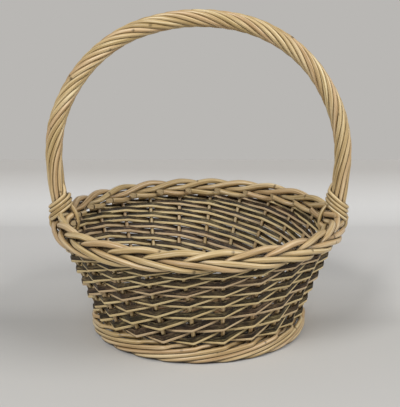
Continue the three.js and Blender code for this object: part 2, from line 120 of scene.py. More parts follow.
# How finely the rods are drawn.
ROD_RESOLUTION = 3
ROD_SPACING = 1.8
CURVE_STEPS = 8
UPRIGHT_KNOTS = 4
HANDLE_STEPS = 40
HANDLE_SPACING = 4
BINDING_STEP = math.radians(20)

# Unevenness of hand work. With a seed of its own the noise is the same each time the script runs.
SETTLING = 0.9
SETTLING_SPAN = 45
SETTLING_FULL_HEIGHT = 40
SETTLING_LEAST = 0.15
SETTLING_SEED = 7
noise.seed_set(SETTLING_SEED)

# Bud scars and the waver of a rod's surface.
FIRST_BUD = (12, 40)
BUD_REACH = 6
BUD_LENGTH = 1.3
BUD_SWELL = 0.12
WAVER_PER_METRE = 330
WAVER_STRETCH = 0.12
WAVER_SHIFT = 40
ROUND_WAVER = 0.035
SPLIT_WAVER = 0.08
BEND_GAIN = 12

# The photograph's camera, with its focal length and shift in pixels and its place in metres.
PHOTO_WIDTH = 400
FOCAL_LENGTH = 911
CAMERA_SHIFT = 1.5
CAMERA_PLACE = (0, -0.9, 0.362)
CAMERA_DROP = math.radians(14.57)
SENSOR_WIDTH = 36

# Worked out from the driving sizes.
STEP = FULL_TURN / STAKE_COUNT
FOOT_PITCH = STAKE_TIP + CLEARANCE
RIM_PITCH = STAKE_THICKNESS + CLEARANCE
FOOT_BOTTOM = STAKE_TIP / 2 * math.cos(math.pi / STAKE_FACETS) - STANDING_CUT
WALL_FOOT = FOOT_BOTTOM + (FOOT_ROWS + WALL_LIFT) * FOOT_PITCH
FIRST_LEVEL = WALL_FOOT + FIRST_LEVEL_LIFT * FOOT_PITCH


def level_height(level):
    """Height of a weaver's lower edge. The levels get closer towards the rim."""
    return FIRST_LEVEL + LEVEL_RISE * level - LEVEL_SHRINK * level * level


WALL_TOP = level_height(WEAVER_LEVELS) + WEAVER_END_WIDTH


def wall_radius(height):
    up = height - WALL_FOOT
    return FOOT_RADIUS + WALL_SLOPE * up + WALL_FLARE * up * up


def wall_tilt(height):
    """How far the wall leans out at a height."""
    return math.atan(WALL_SLOPE + 2 * WALL_FLARE * (height - WALL_FOOT))


# A stake's foot border below the upright: stakes along, foot pitches out and up from the wall's foot.
FOOT_TURN = [
    (0.06, -0.07, -0.64),
    (0.25, -0.22, -0.93),
    (0.5, -0.64, -1),
    (0.75, -0.98, -0.82),
    (1, -1.11, -0.53),
    (1.25, -0.84, -0.06),
    (1.5, -0.18, 0.01),
    (1.75, 0.49, 0.01),
]
# It goes down the rows outside, then turns in below: stakes along, foot pitches in and up.
ROWS_START = 2
ROWS_DROP = 0.07
FOOT_END = [(0, 0.36, 0.18), (0.3, 0.95, 0), (0.6, 1.6, 0)]
FOOT_OUTSIDE = FOOT_RADIUS + FOOT_OVERHANG * FOOT_PITCH

# A stake's rim border: stakes along, rim pitches out and up from the wall's top.
RIM = [
    (0, 0.36, 1.02),
    (0.04, 0.6, 1.85),
    (0.15, 0.76, 2.42),
    (0.35, 0.83, 2.87),
    (0.65, 0.72, 3.43),
    (1, 0.38, 3.72),
    (1.35, -0.09, 3.38),
    (1.7, -0.47, 2.7),
    (2, -0.55, 2.19),
    (2.35, 0.17, 1.94),
    (2.7, 1.02, 1.98),
    (3, 1.66, 1.98),
    (3.35, 1.96, 1.72),
    (3.7, 2, 1.24),
    (4, 1.85, 0.82),
    (4.35, 1.45, 0.55),
    (4.6, 0.75, 0.59),
    (4.8, -0.3, 0.79),
    (5.15, -1.75, 1.15),
    (5.7, -2, 1.85),
]
# Before and after this stretch a rod is inside the handle's legs and makes room for them.
UPPER_RIM_END = 2.9
INNER_END_START = 4.9
# The rim rods' drawn thickness: stakes along, millimetres.
RIM_RODS = [
    (0, 4.8),
    (0.3, 5.8),
    (1, 6.6),
    (1.7, 6.5),
    (2.4, 6),
    (3.3, 5.2),
    (4.6, 5),
    (5.2, 5.7),
    (5.7, 5.7),
]
RIM_RADIUS = wall_radius(WALL_TOP)
RIM_TOP = WALL_TOP + max(up for _, _, up in RIM) * RIM_PITCH + STAKE_THICKNESS / 2
RIM_OUTSIDE = RIM_RADIUS + max(out for _, out, _ in RIM) * RIM_PITCH + STAKE_THICKNESS / 2

# A split rod's outline, one rod wide, from its lower outer corner over the top to the inner side.
# Bark covers the roof between the two ridges, and the pale split wood shows on both edges below.
SPLIT_OUTLINE = [
    (0.2, -0.5),
    (0.215, -0.38),
    (0.2, -0.25),
    (0.16, -0.17),
    (0.15, 0),
    (0.11, 0.2),
    (0.05, 0.38),
    (-0.03, 0.5),
    (-0.12, 0.42),
    (-0.18, 0.2),
    (-0.2, -0.05),
    (-0.215, -0.2),
    (-0.2, -0.4),
    (0, -0.45),
]
SPLIT_DEPTH = 0.2
BARK_FROM, BARK_TO = 3, 10

# How much higher a weaver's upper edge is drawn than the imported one: height, millimetres.
WEAVER_OVERLAP = [
    (WALL_FOOT, -0.1),
    (0.6 * WALL_TOP, 0.1),
    (0.8 * WALL_TOP, 0.8),
    (WALL_TOP, 1.3),
]
WEAVER_START_REACH = 0.16
# Its end, tucked in under the rim.
TUCK_WIDTH = 4.6
TUCK_DROP = 1
TUCK_REACH = 0.4
TUCK_EASE = 0.3

STRAND_RING = (STRAND_THICKNESS + 2 * CLEARANCE) / 2 / math.sin(math.pi / STRAND_COUNT)
STRAND_FOOT = RIM_TOP + 3 * CLEARANCE
BOW_THICKNESS = 2 * (STRAND_RING - 3 * CLEARANCE) - STRAND_THICKNESS
BOW_END = WALL_TOP - BOW_DEPTH
HALF_SPAN = RIM_RADIUS + HANDLE_BULGE
SPRING_HEIGHT = WALL_TOP + HANDLE_SPRING_RISE
BINDING_RING = STRAND_RING + (STRAND_THICKNESS + BINDING_THICKNESS) / 2 + 2 * CLEARANCE
BINDING_FOOT = RIM_TOP - BINDING_DROP
# The binding leaves the strands' ring at these shares of its rise angle, and then winds down.
LEAD_IN = (0, 0.12, 0.4, 0.85)
LEAD_END = 1.4
# The strap outside the rim: rim pitches out and up from the wall's top.
STRAP = [(0.2, 2.9), (0, 1.9), (0, 0.9), (-0.5, 0), (-1.3, -1.1), (-2.2, -2.8)]
# Its end inside the rim, back up to the leg: millimetres out, to the front and up.
STRAP_END = [
    (-5, 1, -10),
    (-11, 3, -4),
    (-14, 4, 4),
    (-14, 4, 11),
    (-12.5, 4, 17),
    (-9, 3, 23),
    (-5, 2, 27),
]

# The base lies inside the foot border, on the stakes where they turn furthest in.
_, INMOST_OUT, INMOST_UP = min(FOOT_TURN, key=lambda row: row[1])
BASE_RADIUS = FOOT_RADIUS + INMOST_OUT * FOOT_PITCH - 5 * CLEARANCE
BASE_HEIGHT = WALL_FOOT + INMOST_UP * FOOT_PITCH + (STAKE_TIP + BASE_STICK) / 2
# The flat base weaver's outline, one rod wide, and bulging a little between its rounded edges.
FLAT_HALF = BASE_WEAVER_THICKNESS / BASE_WEAVER_WIDTH / 2
FLAT_BULGE = FLAT_HALF * 1.15
FLAT_OUTLINE = [
    (0.5, 0),
    (0.42, FLAT_HALF),
    (0.2, FLAT_BULGE),
    (-0.2, FLAT_BULGE),
    (-0.42, FLAT_HALF),
    (-0.5, 0),
    (-0.4, -FLAT_HALF),
    (0.4, -FLAT_HALF),
]

# The studio's paper: where it starts in front, its half width, and its bend and lip behind, in metres.
PAPER_FRONT = -1.3
PAPER_HALF = 1.5
PAPER_BACK = 0.425
PAPER_BEND = 0.07
PAPER_LIP = 0.085
PAPER_STEPS = 24

# Softboxes: name, degrees from the front and above the floor, metres away and across, watts.
SOFTBOXES = [
    ("left_softbox", -30, 40, 1.6, 0.6, 16),
    ("right_softbox", 62, 36, 1.8, 1.1, 19),
]
LAMP_AIM = Vector((0, 0, 0.12))

# How near another rod paints shade on this one, and how much higher folds stand than fibres.
SHADE_REACH = 6
FOLD_GAIN = 2.5

# The Mix node's sockets for colours, which share their names with its sockets for numbers.
MIX_FACTOR, MIX_FIRST, MIX_SECOND = 0, 6, 7
MIXED = 2


# Points, lines and rods.
def around(angle, radius, height):
    """A point at an angle round the basket, counted from the front towards +X."""
    return Vector((radius * math.sin(angle), -radius * math.cos(angle), height))


def on_wall(angle, height, offset):
    """A point on the middle of the wall, moved outwards by offset square to its slope."""
    tilt = wall_tilt(height)
    radius = wall_radius(height) + offset * math.cos(tilt)
    return around(angle, radius, height - offset * math.sin(tilt))


def lean(height):
    """How far round a stake leans at a height, from its foot to the rim."""
    share = (WALL_TOP - height) / (WALL_TOP - WALL_FOOT)
    return STAKE_LEAN * min(max(share, 0), 1)


def smooth_between(start, end, slope_in, slope_out, u):
    """Smooth course from start to end at the share u, for numbers and points."""
    return (
        start * (1 + u * u * (2 * u - 3))
        + end * (u * u * (3 - 2 * u))
        + slope_in * (u * (1 - u) * (1 - u))
        + slope_out * (u * u * (u - 1))
    )


def through(rows, t):
    """Smooth value at t through rows of (t, value)."""
    i = 0
    while i < len(rows) - 2 and t > rows[i + 1][0]:
        i += 1
    before = rows[max(i - 1, 0)]
    start = rows[i]
    end = rows[i + 1]
    after = rows[min(i + 2, len(rows) - 1)]
    span = end[0] - start[0]
    u = min(max((t - start[0]) / span, 0), 1)
    slope_in = span * (end[1] - before[1]) / (end[0] - before[0])
    slope_out = span * (after[1] - start[1]) / (after[0] - start[0])
    return smooth_between(start[1], end[1], slope_in, slope_out, u)


def smooth_line(knots, spacing):
    """Evenly spaced points on a smooth curve through knots of (point, thickness)."""
    fine = []
    for i in range(len(knots) - 1):
        before = knots[max(i - 1, 0)][0]
        start, start_thickness = knots[i]
        end, end_thickness = knots[i + 1]
        after = knots[min(i + 2, len(knots) - 1)][0]
        span = max((end - start).length, 1e-6)
        slope_in = (end - before) * (span / max((start - before).length + span, 1e-6))
        slope_out = (after - start) * (span / max((after - end).length + span, 1e-6))
        for step in range(CURVE_STEPS):
            u = step / CURVE_STEPS
            point = smooth_between(start, end, slope_in, slope_out, u)
            fine.append((point, start_thickness + (end_thickness - start_thickness) * u))
    fine.append(knots[-1])
    return spaced(fine, spacing)


def distances(points):
    """Distance of each point from the first one, along the line."""
    along = [0.0]
    for a, b in zip(points, points[1:]):
        along.append(along[-1] + (b - a).length)
    return along


def spaced(line, spacing):
    """The same line of (point, thickness), with points at even distances."""
    lengths = distances([point for point, _ in line])
    count = max(int(lengths[-1] / spacing), 2)
    out = []
    i = 0
    for n in range(count + 1):
        target = lengths[-1] * n / count
        while i < len(line) - 2 and lengths[i + 1] < target:
            i += 1
        span = max(lengths[i + 1] - lengths[i], 1e-9)
        u = (target - lengths[i]) / span
        (start, start_thickness), (end, end_thickness) = line[i], line[i + 1]
        thickness = start_thickness + (end_thickness - start_thickness) * u
        out.append((start.lerp(end, u), thickness))
    return out


def settled(point):
    """Hand-made unevenness that neighbouring rods share, so that they still lie together."""
    amount = SETTLING * min(max(point.z / SETTLING_FULL_HEIGHT, SETTLING_LEAST), 1)
    return point + noise.noise_vector(point / SETTLING_SPAN) * amount


def pick(items):
    """Selects only these objects, the first of them active, for the operators that follow."""
    for item in bpy.context.selected_objects:
        item.select_set(False)
    for item in items:
        item.select_set(True)
    bpy.context.view_layer.objects.active = items[0]


def outline_curve(name, points):
    """A closed outline for a rod's section: x outwards or across, y upwards."""
    curve = bpy.data.curves.new(name, "CURVE")
    curve.dimensions = "2D"
    spline = curve.splines.new("POLY")
    spline.points.add(len(points) - 1)
    spline.use_cyclic_u = True
    for knot, (x, y) in zip(spline.points, points):
        knot.co = (x * MM, y * MM, 0, 1)
    outline = bpy.data.objects.new(name, curve)
    bpy.context.collection.objects.link(outline)
    return outline


def swept(name, line, outline=None, tilts=None):
    """A rod along a line of (point, thickness), as a mesh whose points run ring by ring.

    It is round, or has an outline, which is then kept level and turned by the tilts.
    """
    curve = bpy.data.curves.new(name, "CURVE")
    curve.dimensions = "3D"
    curve.twist_mode = "Z_UP" if outline else "MINIMUM"
    curve.use_fill_caps = False
    spline = curve.splines.new("POLY")
    spline.points.add(len(line) - 1)
    for i, (point, thickness) in enumerate(line):
        spline.points[i].co = (*(settled(point) * MM), 1)
        spline.points[i].radius = thickness
        if tilts:
            spline.points[i].tilt = tilts[i]
    if outline:
        curve.bevel_mode = "OBJECT"
        curve.bevel_object = outline
    else:
        curve.bevel_depth = MM / 2
        curve.bevel_resolution = ROD_RESOLUTION
    rod = bpy.data.objects.new(name, curve)
    bpy.context.collection.objects.link(rod)
    pick([rod])
    bpy.ops.object.convert(target="MESH")
    return bpy.context.view_layer.objects.active


def rings_of(rod, count):
    """The point numbers of a swept rod, ring by ring."""
    sides = len(rod.data.vertices) // count
    return [range(i * sides, (i + 1) * sides) for i in range(count)]


def keep_on_points(mesh, name, values, kind="FLOAT"):
    """Numbers for every point of a mesh, kept under a name that the materials read."""
    kept = mesh.attributes.new(name, kind, "POINT")
    kept.data.foreach_set("vector" if kind == "FLOAT_VECTOR" else "value", values)


def scatter_buds(dice, length, bud_spacing):
    """Bud scars along a rod: (distance, side that it faces, strength)."""
    buds = []
    place = dice.uniform(*FIRST_BUD) * MM
    while bud_spacing and place < length:
        buds.append((place, dice.uniform(0, FULL_TURN), dice.uniform(0.6, 1.0)))
        place += dice.uniform(0.5, 1.5) * bud_spacing * MM
    return buds


def bud_mark(buds, distance, turn):
    """How much of a bud scar is on a rod's surface at a distance along and a turn round."""
    mark = 0
    for bud, facing, strength in buds:
        if abs(bud - distance) < BUD_REACH * MM:
            near = math.exp(-(((distance - bud) / (BUD_LENGTH * MM)) ** 2))
            mark += strength * near * max(math.cos(turn - facing), 0) ** 3
    return mark


def turning(centres, i):
    """How much a rod's middle line turns at a point, towards the inside of the bend."""
    if i in (0, len(centres) - 1):
        return Vector()
    arrived = centres[i] - centres[i - 1]
    leaving = centres[i + 1] - centres[i]
    return (leaving.normalized() - arrived.normalized()) / max(leaving.length, MM / 2) * MM


def slant_ends(points, rings, centres, slopes, towards):
    """Cuts each end on a slant, longer on the side that faces towards."""
    for end, inner, slope in ((0, 1, slopes[0]), (-1, -2, slopes[1])):
        outward = (centres[end] - centres[inner]).normalized()
        for v in rings[end]:
            side_of = (points[v].co - centres[end]).dot(towards)
            points[v].co += outward * side_of * slope


def close_ends(rod):
    """Closes both ends of a rod by cut faces, and returns the number of the first one."""
    mesh = rod.data
    first_cut_face = len(mesh.polygons)
    on_rod = len(mesh.vertices)
    pick([rod])
    bpy.ops.object.mode_set(mode="EDIT")
    bpy.ops.mesh.select_all(action="DESELECT")
    bpy.ops.mesh.select_mode(type="EDGE")
    bpy.ops.mesh.select_non_manifold()
    bpy.ops.mesh.edge_face_add()
    bpy.ops.mesh.poke()
    bpy.ops.mesh.select_all(action="SELECT")
    bpy.ops.mesh.normals_make_consistent(inside=False)
    bpy.ops.object.mode_set(mode="OBJECT")
    keep_on_points(mesh, "cut_reach", [1.0] * on_rod + [0.0] * (len(mesh.vertices) - on_rod))
    return first_cut_face


def finish_rod(
    rod, line, seed, bud_spacing=0, cut_slope=(0, 0), cut_towards=UP, waver=ROUND_WAVER
):
    """Gives a swept rod its bud scars, waver and cut ends, and what its materials read.

    Returns the number of the first cut face.
    """
    dice = random.Random(seed)
    mesh = rod.data
    points = mesh.vertices
    rings = rings_of(rod, len(line))
    sides = len(rings[0])
    centres = [sum((points[v].co for v in ring), Vector()) / sides for ring in rings]
    along = distances(centres)
    buds = scatter_buds(dice, along[-1], bud_spacing)
    tone = dice.random()
    shift = Vector((dice.uniform(-1, 1), dice.uniform(-1, 1), dice.uniform(-1, 1)))
    places, scars, bends = [], [], []
    for i, ring in enumerate(rings):
        size = sum((points[v].co - centres[i]).length for v in ring) / sides
        turned = turning(centres, i)
        for side, v in enumerate(ring):
            turn = FULL_TURN * side / sides
            flat = Vector((math.cos(turn), math.sin(turn), 0)) * size
            scar = bud_mark(buds, along[i], turn)
            waver_place = Vector((flat.x, flat.y, along[i] * WAVER_STRETCH)) * WAVER_PER_METRE
            swell = noise.noise(waver_place + shift * WAVER_SHIFT)
            from_centre = points[v].co - centres[i]
            bends.append(min(max(BEND_GAIN * turned.dot(from_centre.normalized()), 0), 1))
            points[v].co = centres[i] + from_centre * (1 + BUD_SWELL * scar + waver * swell)
            places.extend(flat + Vector((0, 0, along[i])) + shift)
            scars.append(scar)
    keep_on_points(mesh, "rod_place", places, "FLOAT_VECTOR")
    keep_on_points(mesh, "bud_scar", scars)
    keep_on_points(mesh, "rod_bend", bends)
    keep_on_points(mesh, "rod_tone", [tone] * len(points))
    slant_ends(points, rings, centres, cut_slope, cut_towards)
    return close_ends(rod)


def paint(mesh, first_cut_face, sides, cut):
    """Smooth sides in one material and flat cut ends in another."""
    mesh.materials.append(sides)
    mesh.materials.append(cut)
    mesh.shade_smooth()
    for face in mesh.polygons[first_cut_face:]:
        face.material_index = 1
        face.use_smooth = False


def add_piece(piece, node):
    """Puts a dressed piece in the place of its node."""
    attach(piece, "root")
    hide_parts(node)


# Materials.
def hex_colour(value):
    """A written sRGB colour as the linear one that Blender mixes in."""
    channels = [int(value[i : i + 2], 16) / 255 for i in (0, 2, 4)]
    linear = [c / 12.92 if c <= 0.04045 else ((c + 0.055) / 1.055) ** 2.4 for c in channels]
    return (*linear, 1)


def add_node(tree, kind, settings=None, links=None, stops=()):
    """A node with its settings, its inputs linked or set, and a ramp's (place, colour) stops."""
    node = tree.nodes.new(kind)
    for name, value in (settings or {}).items():
        setattr(node, name, value)
    for socket, source in (links or {}).items():
        if isinstance(source, bpy.types.NodeSocket):
            tree.links.new(source, node.inputs[socket])
        else:
            node.inputs[socket].default_value = source
    while stops and len(node.color_ramp.elements) < len(stops):
        node.color_ramp.elements.new(0.5)
    for i, (place, colour) in enumerate(stops):
        node.color_ramp.elements[i].position = place
        node.color_ramp.elements[i].color = hex_colour(colour)
    return node


def new_material(name):
    """An empty material and its node tree."""
    material = bpy.data.materials.new(name)
    material.use_nodes = True
    material.node_tree.nodes.clear()
    return material, material.node_tree


def fibre_pattern(tree, across_mm, along_mm, detail, rough=0.6):
    """Noise drawn out along the rod: fibres across_mm wide and along_mm long."""
    place = add_node(tree, "ShaderNodeAttribute", {"attribute_name": "rod_place"})
    scale = (1 / (across_mm * MM), 1 / (across_mm * MM), 1 / (along_mm * MM))
    mapped = add_node(
        tree, "ShaderNodeMapping", links={"Vector": place.outputs["Vector"], "Scale": scale}
    )
    pattern = add_node(
        tree,
        "ShaderNodeTexNoise",
        links={"Vector": mapped.outputs[0], "Scale": 1, "Detail": detail, "Roughness": rough},
    )
    return pattern.outputs["Fac"]


def in_two_tones(tree, which, pattern, first_stops, second_stops):
    """A pattern in two sets of colours, mixed from rod to rod by which."""
    first = add_node(tree, "ShaderNodeValToRGB", links={"Fac": pattern}, stops=first_stops)
    second = add_node(tree, "ShaderNodeValToRGB", links={"Fac": pattern}, stops=second_stops)
    mix = add_node(
        tree,
        "ShaderNodeMix",
        {"data_type": "RGBA"},
        {MIX_FACTOR: which, MIX_FIRST: first.outputs[0], MIX_SECOND: second.outputs[0]},
    )
    return mix.outputs[MIXED]


def laid_over(tree, body, pattern, stops, colour):
    """A colour laid over the body where the stops turn a pattern light."""
    where = add_node(tree, "ShaderNodeValToRGB", links={"Fac": pattern}, stops=stops)
    mix = add_node(
        tree,
        "ShaderNodeMix",
        {"data_type": "RGBA"},
        {MIX_FACTOR: where.outputs[0], MIX_FIRST: body, MIX_SECOND: hex_colour(colour)},
    )
    return mix.outputs[MIXED]


def surface(tree, colour, roughness, height, relief_mm, strength, shine=0.5):
    """Surface with a bump of relief_mm from a height pattern.

    Painted shade darkens it where rods lie close.
    """
    # Ambient occlusion darkens the colour towards dark brown near other rods: painted shade in the
    # gaps.
    near = add_node(tree, "ShaderNodeAmbientOcclusion", {"samples": 8}, {"Distance": SHADE_REACH * MM})
    close = [(0.25, "ffffff"), (0.55, "8c8c8c"), (0.85, "000000")]
    painted_shade_colour = laid_over(tree, colour, near.outputs["AO"], close, "2c1a0a")
    bump = add_node(
        tree,
        "ShaderNodeBump",
        links={"Height": height, "Strength": strength, "Distance": relief_mm * MM},
    )
    shader = add_node(
        tree,
        "ShaderNodeBsdfPrincipled",
        links={
            "Base Color": painted_shade_colour,
            "Roughness": roughness,
            "Specular IOR Level": shine,
            "Normal": bump.outputs[0],
        },
    )
    add_node(tree, "ShaderNodeOutputMaterial", links={"Surface": shader.outputs[0]})


def peeled_willow(name, shade):
    """Peeled willow rod: straw-coloured satin wood with lengthwise streaks and dark bud scars.

    A shade above 0 tans it towards the brown of buff willow, which was boiled before it was peeled;
    the base sticks' strong tan is painted shade inside the basket.
    """
    material, tree = new_material(name)
    fibres = fibre_pattern(tree, 0.45, 14, 3)
    streaks = fibre_pattern(tree, 1.6, 60, 2)
    blotches = fibre_pattern(tree, 9, 30, 2)
    folds = fibre_pattern(tree, 5, 1.3, 1)
    tone = add_node(tree, "ShaderNodeAttribute", {"attribute_name": "rod_tone"}).outputs["Fac"]
    scar = add_node(tree, "ShaderNodeAttribute", {"attribute_name": "bud_scar"}).outputs["Fac"]
    bend = add_node(tree, "ShaderNodeAttribute", {"attribute_name": "rod_bend"}).outputs["Fac"]
    straw = [(0.3, "9d8452"), (0.5, "cbb17e"), (0.7, "e8d6aa")]
    warm = [(0.3, "9a7b50"), (0.5, "c3a278"), (0.7, "e3c9a0")]
    body = in_two_tones(tree, tone, streaks, straw, warm)
    patched = laid_over(tree, body, blotches, [(0.52, "000000"), (0.72, "8c8c8c")], "a98c60")
    lined = laid_over(tree, patched, fibres, [(0.36, "6b6b6b"), (0.5, "000000")], "7d6540")
    scarred = laid_over(tree, lined, scar, [(0.12, "000000"), (0.5, "e0e0e0")], "4c3a1c")
    tanned = add_node(
        tree,
        "ShaderNodeMix",
        {"data_type": "RGBA"},
        {MIX_FACTOR: shade, MIX_FIRST: scarred, MIX_SECOND: hex_colour("6b4a30")},
    )
    roughness = add_node(
        tree, "ShaderNodeMapRange", links={"Value": fibres, "To Min": 0.44, "To Max": 0.28}
    )
    # The wood folds across the rod on the inside of a bend.
    creases = add_node(tree, "ShaderNodeMath", {"operation": "MULTIPLY"}, {0: bend, 1: folds})
    relief = add_node(
        tree,
        "ShaderNodeMath",
        {"operation": "MULTIPLY_ADD"},
        {0: creases.outputs[0], 1: FOLD_GAIN, 2: fibres},
    )
    surface(
        tree,
        tanned.outputs[MIXED],
        roughness.outputs[0],
        relief.outputs[0],
        relief_mm=0.14,
        strength=0.5,
    )
    return material


def willow_cut_end():
    """Cut end of a willow rod: pale open wood round a brown pith, with a dark edge."""
    material, tree = new_material("willow_cut_end")
    place = add_node(tree, "ShaderNodeTexCoord").outputs["Object"]
    pores = add_node(
        tree, "ShaderNodeTexNoise", links={"Vector": place, "Scale": 1 / (0.5 * MM), "Detail": 2}
    ).outputs["Fac"]
    wood = add_node(
        tree, "ShaderNodeValToRGB", links={"Fac": pores}, stops=[(0.35, "a98d62"), (0.6, "cdb78d")]
    )
    reach = add_node(tree, "ShaderNodeAttribute", {"attribute_name": "cut_reach"}).outputs["Fac"]
    pith_and_edge = [(0.08, "b0b0b0"), (0.2, "101010"), (0.84, "181818"), (0.97, "b0b0b0")]
    colour = laid_over(tree, wood.outputs[0], reach, pith_and_edge, "6f5234")
    surface(tree, colour, 0.75, pores, relief_mm=0.1, strength=0.3)
    return material


def willow_bark():
    """Dried willow bark on a split rod: dark olive brown, wrinkled along the rod, faintly waxy."""
    material, tree = new_material("willow_bark")
    wrinkles = fibre_pattern(tree, 1.1, 16, 4)
    bands = fibre_pattern(tree, 2.6, 16, 3, 0.7)
    specks = fibre_pattern(tree, 1.3, 5, 3, 0.7)
    tone = add_node(tree, "ShaderNodeAttribute", {"attribute_name": "rod_tone"}).outputs["Fac"]
    olive = [(0.34, "161006"), (0.47, "2f2713"), (0.57, "4a4027"), (0.7, "7d7049")]
    brown = [(0.34, "170e07"), (0.47, "332519"), (0.57, "503d2d"), (0.7, "80684e")]
    body = in_two_tones(tree, tone, bands, olive, brown)
    creased = laid_over(tree, body, wrinkles, [(0.38, "c8c8c8"), (0.5, "000000")], "1d160f")
    # Pale grey-olive flecks: partly the bark's own grey, partly painted glints.
    flecked_with_glints = laid_over(tree, creased, specks, [(0.55, "000000"), (0.66, "9a9a9a")], "94865f")
    roughness = add_node(
        tree, "ShaderNodeMapRange", links={"Value": bands, "To Min": 0.58, "To Max": 0.44}
    )
    surface(
        tree, flecked_with_glints, roughness.outputs[0], wrinkles, relief_mm=0.2, strength=0.6, shine=0.25
    )
    return material


def split_willow():
    """Split face of a willow rod: pale wood torn and shaved along the grain, some of it pinkish."""
    material, tree = new_material("split_willow")
    grain = fibre_pattern(tree, 0.5, 18, 3)
    stain = fibre_pattern(tree, 5, 40, 2)
    tone = add_node(tree, "ShaderNodeAttribute", {"attribute_name": "rod_tone"}).outputs["Fac"]
    pinkness = add_node(
        tree, "ShaderNodeValToRGB", links={"Fac": tone}, stops=[(0.55, "000000"), (0.85, "e0e0e0")]
    )
    pale = [(0.35, "b99c6a"), (0.52, "dac38f"), (0.7, "e8d6a9")]
    pink = [(0.35, "ac8c6c"), (0.52, "ccb08c"), (0.7, "dec8a8")]
    body = in_two_tones(tree, pinkness.outputs[0], grain, pale, pink)
    stained = laid_over(tree, body, stain, [(0.5, "000000"), (0.75, "707070")], "8d7148")
    surface(tree, stained, 0.62, grain, relief_mm=0.12, strength=0.4)
    return material


# Stakes.
def foot_rows():
    """The foot border from its cut end to the upright: (stakes along, radius, height)."""
    rows = [
        (along, FOOT_RADIUS + out * FOOT_PITCH, WALL_FOOT + up * FOOT_PITCH)
        for along, out, up in FOOT_TURN
    ]
    for half in range(2 * FOOT_ROWS):
        down = half / 2
        rows.append((ROWS_START + down, FOOT_OUTSIDE, WALL_FOOT - (ROWS_DROP + down) * FOOT_PITCH))
    for along, inwards, up in FOOT_END:
        radius = FOOT_OUTSIDE - inwards * FOOT_PITCH
        rows.append((ROWS_START + FOOT_ROWS + along, radius, FOOT_BOTTOM + up * FOOT_PITCH))
    return rows[::-1]


def inwards_for_handle(angle, radius):
    """How far a rod of the rim moves in to make room for a handle leg."""
    beside_leg = radius * math.asin(math.cos(angle))
    return HANDLE_GAP_DEPTH * math.exp(-((beside_leg / HANDLE_GAP_WIDTH) ** 2))


def stake_knots(angle):
    """A stake's points with their thickness: foot border, upright and rim border."""
    knots = []
    for along, radius, height in foot_rows():
        knots.append((around(angle + lean(height) - along * STEP, radius, height), FOOT_ROD))
    for i in range(UPRIGHT_KNOTS):
        height = WALL_FOOT + (WALL_TOP - WALL_FOOT) * i / (UPRIGHT_KNOTS - 1)
        knots.append((on_wall(angle + lean(height), height, 0), WALL_ROD))
    for along, out, up in RIM:
        at = angle + along * STEP
        radius = RIM_RADIUS + out * RIM_PITCH
        if not UPPER_RIM_END <= along <= INNER_END_START:
            radius -= inwards_for_handle(at, radius)
        knots.append((around(at, radius, WALL_TOP + up * RIM_PITCH), through(RIM_RODS, along)))
    return knots


def make_stakes(wood, cut):
    for number in range(STAKE_COUNT):
        name = f"willow_stake_{number + 1:02d}"
        line = smooth_line(stake_knots(FIRST_STAKE + number * STEP), ROD_SPACING)
        stake = swept(name, line)
        end = line[-1][0]
        outwards = Vector((end.x, end.y, 0)).normalized()
        cut_face = finish_rod(
            stake, line, name, bud_spacing=70, cut_slope=(1.2, 1.9), cut_towards=outwards
        )
        # The foot's rods don't go below the floor.
        for vertex in stake.data.vertices:
            vertex.co.z = max(vertex.co.z, 0)
        paint(stake.data, cut_face, wood, cut)
        add_piece(stake, f"stake_{number + 1:02d}")


# Side weavers.
def upper_edge(level):
    """Height of a weaver's upper edge, which stays just under the weaver above it."""
    last = math.floor(WEAVER_LEVELS)
    if level <= last:
        return level_height(level + 1) - LEVEL_GAP
    share = (level - last) / (WEAVER_LEVELS - last)
    return upper_edge(last) + (WALL_TOP - upper_edge(last)) * share


def beside(thickness, low, high):
    """Distance between the middles of an upright rod and of a weaver that passes it."""
    return thickness / 2 + CLEARANCE + SPLIT_DEPTH * (high - low) / math.cos(wall_tilt(low))


def rows_at_legs(level, angle, hand):
    """Where a weaver passes a handle leg's bow on its way from one stake to the next."""
    rows = []
    for leg in (QUARTER_TURN, -QUARTER_TURN):
        turn = leg - angle
        share = math.atan2(math.sin(turn), math.cos(turn)) / STEP
        if 0 < share < 1 and upper_edge(level + share) > BOW_END - LEVEL_RISE:
            low, high = level_height(level + share), upper_edge(level + share)
            offset = hand * beside(bow_thickness((low + high) / 2), low, high)
            rows.append((angle + share * STEP, offset, low, high))
    return rows


def weaver_rows(number):
    """Where a side weaver crosses the stakes: (angle, offset, lower edge, upper edge)."""
    first = FIRST_STAKE + number * STEP
    high = upper_edge(-1)
    low = high - WEAVER_START_WIDTH
    start = first - STEP + lean(high)
    behind = -beside(STAKE_THICKNESS, low, high)
    rows = [(start - WEAVER_START_REACH * STEP, behind, low, high), (start, behind, low, high)]
    for level in range(math.ceil(WEAVER_LEVELS)):
        low, high = level_height(level), upper_edge(level)
        angle = first + level * STEP + lean((low + high) / 2)
        hand = 1 if level % 2 == 0 else -1
        rows.append((angle, hand * beside(STAKE_THICKNESS, low, high), low, high))
        rows.extend(rows_at_legs(level, angle, hand))
    low = level_height(WEAVER_LEVELS)
    offset = hand * beside(STAKE_THICKNESS, low, WALL_TOP) * (1 - 2 * (WEAVER_LEVELS % 1))
    rows.append((first + WEAVER_LEVELS * STEP, offset, low, WALL_TOP))
    # The end is tucked in behind one more stake, up against the rim.
    last = first + math.ceil(WEAVER_LEVELS) * STEP
    high = WALL_TOP + TUCK_WIDTH
    tucked = -hand * beside(STAKE_THICKNESS, WALL_TOP, high)
    rows.append((last, tucked, WALL_TOP - TUCK_DROP, high - TUCK_DROP))
    rows.append((last + TUCK_REACH * STEP, TUCK_EASE * tucked, WALL_TOP, high))
    return rows


def is_bark(face):
    """Whether a split rod's face runs between two points of the outline that are on the bark."""
    places = sorted({v % len(SPLIT_OUTLINE) for v in face.vertices})
    if len(face.vertices) != 4 or len(places) != 2:
        return False
    return BARK_FROM <= places[0] and places[1] <= BARK_TO


